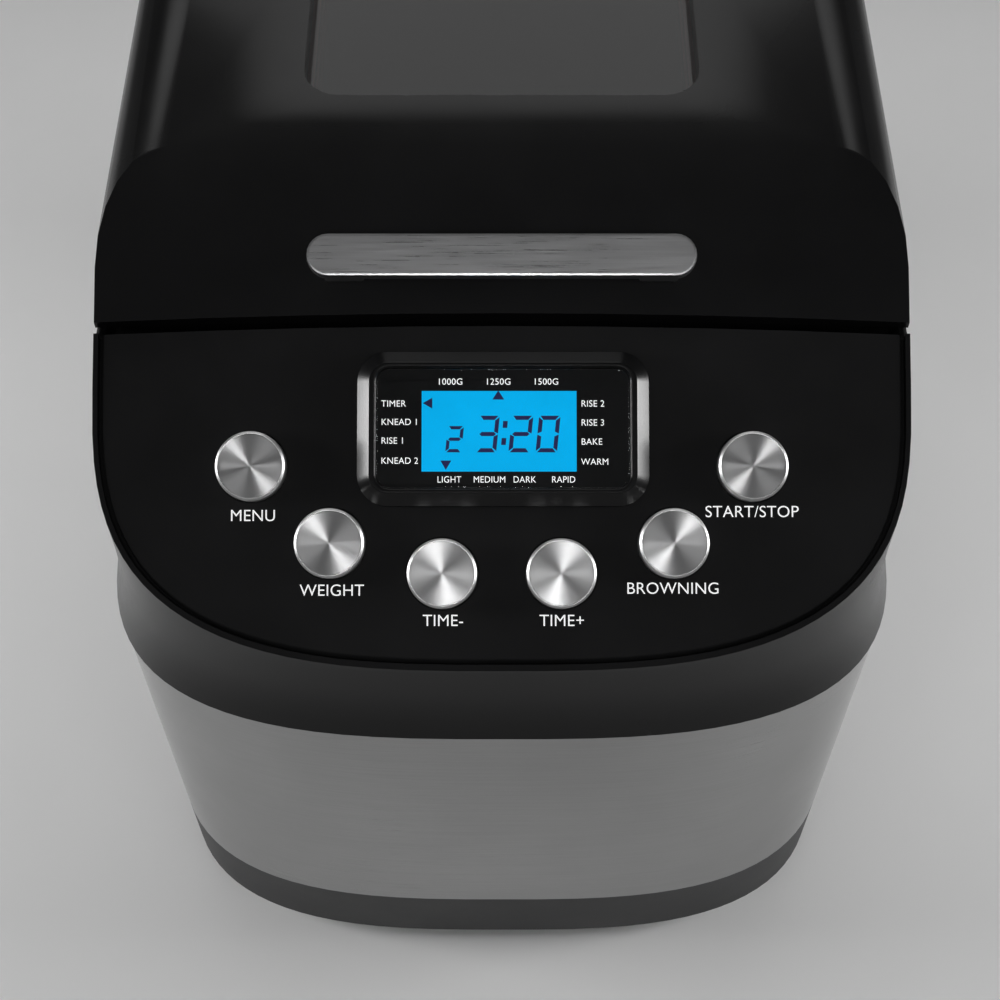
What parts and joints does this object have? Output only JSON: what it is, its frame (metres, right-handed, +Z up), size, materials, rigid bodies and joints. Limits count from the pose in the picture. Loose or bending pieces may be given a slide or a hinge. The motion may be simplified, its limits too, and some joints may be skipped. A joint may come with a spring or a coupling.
{
  "type": "bread machine",
  "caption": "Countertop bread maker with a hinged windowed lid, sloped button panel with a lit display, a lift-out pan, kneading paddle and belt drive.",
  "frame": {"origin": "on the table, under the middle of the housing's overall width and depth", "axes": "+Z up, front with the control panel faces -Y, +X to the right when facing the front"},
  "size_m": [0.26, 0.35, 0.3],
  "materials": {
    "black_matte": "fine matte texture",
    "panel_black": "matte, slightly rubbery",
    "bezel_gloss": "polished black",
    "base_black": "matte",
    "stainless": "brushed, fine horizontal lines",
    "button_metal": "spun, with a polished rim",
    "rubber": "matte",
    "clear_lens": "clear acrylic",
    "lens_mask": "printed black",
    "lcd_blue": "backlit blue",
    "white_plastic": "matte",
    "circuit_board": "solder mask",
    "component_black": "matte",
    "component_mixed": "moulded",
    "aluminised_steel": "dull, drawn",
    "galvanised": "zinc-plated sheet",
    "heater_sheath": "heat-tinted steel sheath",
    "cast_grey": "die cast",
    "spring_steel": "bright",
    "bright_steel": "ground",
    "bronze": "sintered",
    "motor_steel": "lacquered laminations",
    "screw_zinc": "zinc plated",
    "silicone_red": "silicone",
    "window_glass": "tempered, lightly smoked",
    "handle_silver": "satin",
    "nonstick": "non-stick coating",
    "sensor_brass": "bright"
  },
  "bodies": {
    "housing": {"base_tray": "base_black", "rubber_feet": "rubber", "steel_jacket": "stainless", "top_housing": "black_matte", "control_panel": "panel_black", "lcd_bezel": "bezel_gloss", "lcd_lens": "clear_lens", "lcd_mask": "lens_mask", "lcd_glass": "lcd_blue", "lcd_backlight": "white_plastic", "control_board": "circuit_board", "tact_switches": "component_black", "oven_chamber": "aluminised_steel", "heating_element": "heater_sheath", "heater_supports": "galvanised", "pan_seat": "cast_grey", "pan_clips": "spring_steel", "chassis_plate": "galvanised", "bearing_bracket": "cast_grey", "shaft_bush": "bronze", "motor_body": "motor_steel", "motor_capacitor": "component_black", "power_board": "circuit_board", "board_parts": "component_mixed", "temperature_sensor": "sensor_brass", "cord_gland": "base_black", "hinge_pins": "bright_steel", "base_screws": "screw_zinc", "drive_belt": "rubber"},
    "lid": {"lid_shell": "black_matte", "lid_liner": "aluminised_steel", "lid_window": "window_glass", "window_gasket": "silicone_red", "lid_handle": "handle_silver", "lid_screws": "screw_zinc"},
    "pan": {"bread_pan": "nonstick", "pan_base_ring": "cast_grey", "pan_bush": "bronze", "handle_pivots": "screw_zinc"},
    "bail": {"pan_handle": "spring_steel"},
    "stirrer": {"paddle_shaft": "bright_steel", "pan_coupling": "cast_grey"},
    "paddle": {"kneading_paddle": "nonstick"},
    "drive": {"drive_shaft": "bright_steel", "drive_socket": "cast_grey", "large_pulley": "component_black"},
    "rotor": {"motor_shaft": "bright_steel", "motor_pulley": "sensor_brass"},
    "menu_button": {"menu_button_cap": "button_metal", "menu_button_plunger": "component_black"},
    "weight_button": {"weight_button_cap": "button_metal", "weight_button_plunger": "component_black"},
    "time_minus_button": {"time_minus_button_cap": "button_metal", "time_minus_button_plunger": "component_black"},
    "time_plus_button": {"time_plus_button_cap": "button_metal", "time_plus_button_plunger": "component_black"},
    "crust_button": {"crust_button_cap": "button_metal", "crust_button_plunger": "component_black"},
    "start_button": {"start_button_cap": "button_metal", "start_button_plunger": "component_black"}
  },
  "joints": [
    {"name": "lid_hinge", "type": "hinge", "parent": "housing", "child": "lid", "pos_m": [0, 0.158, 0.276], "axis": [-1, 0, 0], "range_deg": [0, 95]},
    {"name": "pan_lift", "type": "slide", "parent": "housing", "child": "pan", "axis": [0, 0, 1], "range_m": [0, 0.02]},
    {"name": "pan_handle_swing", "type": "hinge", "parent": "pan", "child": "bail", "pos_m": [0, 0.038, 0.234], "axis": [-1, 0, 0], "range_deg": [0, 35]},
    {"name": "stirrer_spin", "type": "hinge", "parent": "pan", "child": "stirrer", "pos_m": [0, 0.038, 0.09], "axis": [0, 0, 1], "continuous": true},
    {"name": "paddle_pull_off", "type": "slide", "parent": "stirrer", "child": "paddle", "axis": [0, 0, 1], "range_m": [0, 0.025]},
    {"name": "drive_spin", "type": "hinge", "parent": "housing", "child": "drive", "pos_m": [0, 0.038, 0.05], "axis": [0, 0, 1], "continuous": true},
    {"name": "motor_spin", "type": "hinge", "parent": "housing", "child": "rotor", "pos_m": [0.038, -0.112, 0.05], "axis": [0, 0, 1], "continuous": true},
    {"name": "menu_press", "type": "slide", "parent": "housing", "child": "menu_button", "axis": [0, 0.5, -0.866], "range_m": [0, 0.001], "stiffness_N_per_m": 1200, "springref_m": -0.0004},
    {"name": "weight_press", "type": "slide", "parent": "housing", "child": "weight_button", "axis": [0, 0.5, -0.866], "range_m": [0, 0.001], "stiffness_N_per_m": 1200, "springref_m": -0.0004},
    {"name": "time_minus_press", "type": "slide", "parent": "housing", "child": "time_minus_button", "axis": [0, 0.5, -0.866], "range_m": [0, 0.001], "stiffness_N_per_m": 1200, "springref_m": -0.0004},
    {"name": "time_plus_press", "type": "slide", "parent": "housing", "child": "time_plus_button", "axis": [0, 0.5, -0.866], "range_m": [0, 0.001], "stiffness_N_per_m": 1200, "springref_m": -0.0004},
    {"name": "crust_press", "type": "slide", "parent": "housing", "child": "crust_button", "axis": [0, 0.5, -0.866], "range_m": [0, 0.001], "stiffness_N_per_m": 1200, "springref_m": -0.0004},
    {"name": "start_press", "type": "slide", "parent": "housing", "child": "start_button", "axis": [0, 0.5, -0.866], "range_m": [0, 0.001], "stiffness_N_per_m": 1200, "springref_m": -0.0004}
  ],
  "couplings": [
    {"joint": "stirrer_spin", "follows": "drive_spin", "ratio": 1},
    {"joint": "motor_spin", "follows": "drive_spin", "ratio": 4.786}
  ]
}
